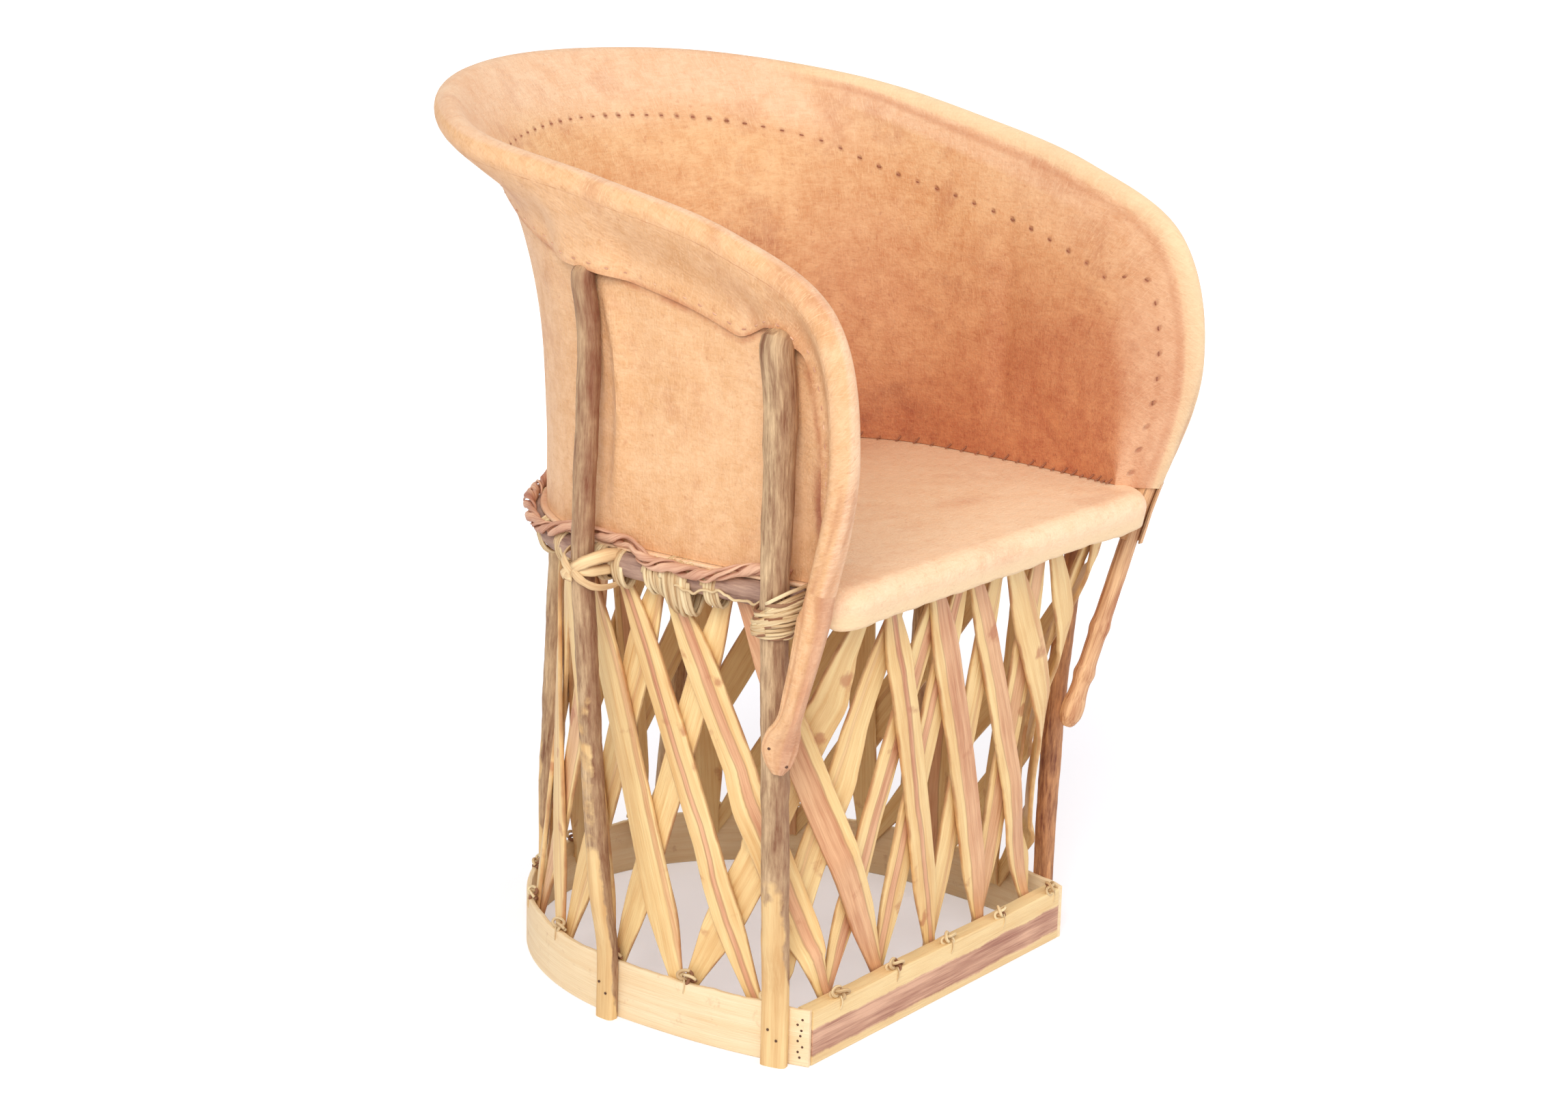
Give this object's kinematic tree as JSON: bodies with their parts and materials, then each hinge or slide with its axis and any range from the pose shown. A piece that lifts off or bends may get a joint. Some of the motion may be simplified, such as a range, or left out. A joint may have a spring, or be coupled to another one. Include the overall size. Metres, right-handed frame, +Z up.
{
  "type": "barrel armchair",
  "caption": "Barrel armchair of crossed cedar slats and bark-covered posts on a wooden base, with a stretched leather seat and a leather back and arms sewn over a bent rim pole.",
  "frame": {"origin": "on the floor, under the middle of the chair's bounding box", "axes": "+Z up, -Y to the front of the chair, +X to the right of someone who looks at its front"},
  "size_m": [0.5802, 0.585, 0.8059],
  "materials": {
    "strip_wood": "light bent wood strip, planed, bare",
    "board_wood": "board with pale sapwood edges and a red-brown heart, bare",
    "cedar_pale": "split pale cedar, rubbed smooth, bare",
    "cedar_red": "split cedar with a red-brown heart stripe, bare",
    "post_bark": "sapling with its grey-brown bark on, whittled bare at both ends",
    "hoop_bark": "branch with its purple-grey bark on",
    "peeled_pole": "peeled knotty branch, bare",
    "pigskin": "vegetable-tanned pigskin, matt, mottled orange-tan",
    "seat_leather": "vegetable-tanned pigskin, matt, a little paler than the back",
    "lace_leather": "twisted pinkish leather lace",
    "plant_fibre": "dry plant fibre",
    "bark_strap": "flat strip of inner bark",
    "iron": "small dark iron nails"
  },
  "bodies": {
    "root": {"back_and_arm_leather": "pigskin", "base_strip": "strip_wood", "far_arm_sleeve": "pigskin", "front_board": "board_wood", "front_lashing_far": "plant_fibre", "front_lashing_near": "plant_fibre", "front_post_far": "post_bark", "front_post_near": "post_bark", "inner_slat_01": "cedar_pale", "inner_slat_02": "cedar_pale", "inner_slat_03": "cedar_red", "inner_slat_04": "cedar_pale", "inner_slat_05": "cedar_pale", "inner_slat_06": "cedar_red", "inner_slat_07": "cedar_pale", "inner_slat_08": "cedar_pale", "inner_slat_09": "cedar_red", "inner_slat_10": "cedar_pale", "inner_slat_11": "cedar_pale", "inner_slat_12": "cedar_red", "inner_slat_13": "cedar_pale", "inner_slat_14": "cedar_pale", "inner_slat_15": "cedar_red", "inner_slat_16": "cedar_pale", "inner_slat_17": "cedar_pale", "inner_slat_18": "cedar_red", "near_arm_sleeve": "pigskin", "outer_slat_01": "cedar_pale", "outer_slat_02": "cedar_red", "outer_slat_03": "cedar_pale", "outer_slat_04": "cedar_pale", "outer_slat_05": "cedar_red", "outer_slat_06": "cedar_pale", "outer_slat_07": "cedar_pale", "outer_slat_08": "cedar_red", "outer_slat_09": "cedar_pale", "outer_slat_10": "cedar_pale", "outer_slat_11": "cedar_red", "outer_slat_12": "cedar_pale", "outer_slat_13": "cedar_pale", "outer_slat_14": "cedar_red", "outer_slat_15": "cedar_pale", "outer_slat_16": "cedar_pale", "outer_slat_17": "cedar_red", "outer_slat_18": "cedar_pale", "rear_post_far": "post_bark", "rear_post_near": "post_bark", "rear_strap_far": "bark_strap", "rear_strap_near": "bark_strap", "rim_pole": "peeled_pole", "seat_hoop": "hoop_bark", "seat_lace": "lace_leather", "seat_leather": "seat_leather", "side_post_far": "post_bark", "side_post_near": "post_bark", "side_strap_far": "bark_strap", "side_strap_near": "bark_strap"}
  },
  "joints": []
}
